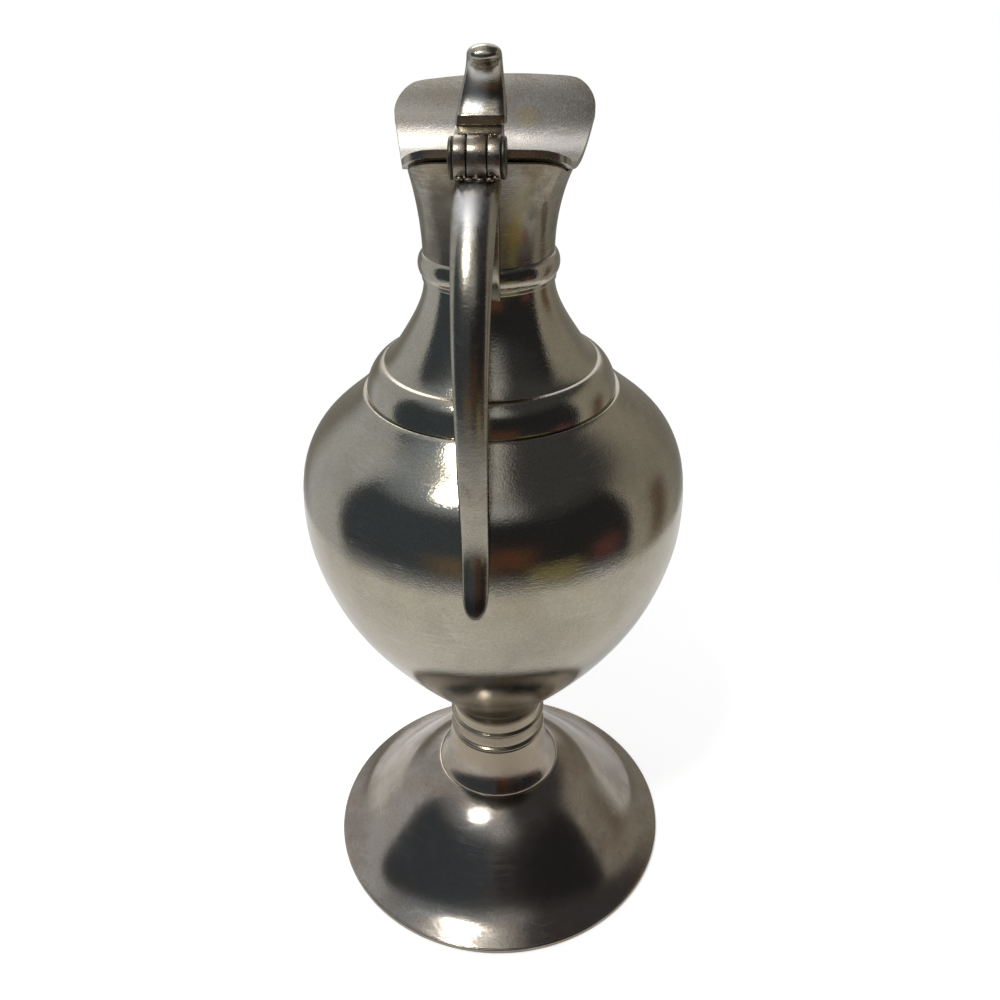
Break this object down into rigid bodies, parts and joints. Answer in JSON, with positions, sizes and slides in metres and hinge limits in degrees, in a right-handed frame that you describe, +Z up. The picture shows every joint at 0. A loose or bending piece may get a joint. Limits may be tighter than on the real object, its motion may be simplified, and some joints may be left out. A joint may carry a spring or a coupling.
{
  "type": "lidded creamer",
  "caption": "Footed metal creamer with a round belly, tapered neck, saddle-shaped pouring mouth, hinged lid with a thumbpiece and a scrolled handle.",
  "frame": {"origin": "centre of the foot's base, on the axis of the body", "axes": "+Z up along the body's axis, +Y towards the pouring lip, -Y towards the handle, +X across"},
  "size_m": [0.082, 0.0857, 0.1873],
  "materials": {
    "foot_metal": "worn soft polish, browner than the body",
    "body_metal": "worn soft polish with fine scratches",
    "mouth_metal": "dulled, lightly stained",
    "handle_metal": "rubbed bright on top, dull at the sides",
    "hinge_metal": "dull, with dark joints",
    "lid_metal": "satin with faint stains"
  },
  "bodies": {
    "vessel": {"foot_dome": "foot_metal", "foot_rim_band": "foot_metal", "knop": "foot_metal", "stem_spool": "foot_metal", "body_bowl": "body_metal", "body_shoulder": "body_metal", "neck_cone": "body_metal", "neck_collar": "body_metal", "mouth": "mouth_metal", "handle": "handle_metal", "handle_bracket": "handle_metal", "hinge_knuckle": "hinge_metal"},
    "lid": {"lid": "lid_metal", "lid_hinge_strap": "hinge_metal", "thumbpiece": "handle_metal", "hinge_pin": "hinge_metal", "hinge_cap_left": "hinge_metal", "hinge_cap_right": "hinge_metal"}
  },
  "joints": [
    {"name": "lid_hinge", "type": "hinge", "parent": "vessel", "child": "lid", "pos_m": [0, -0.0188, 0.17112], "axis": [1, 0, 0], "range_deg": [0, 105]}
  ]
}
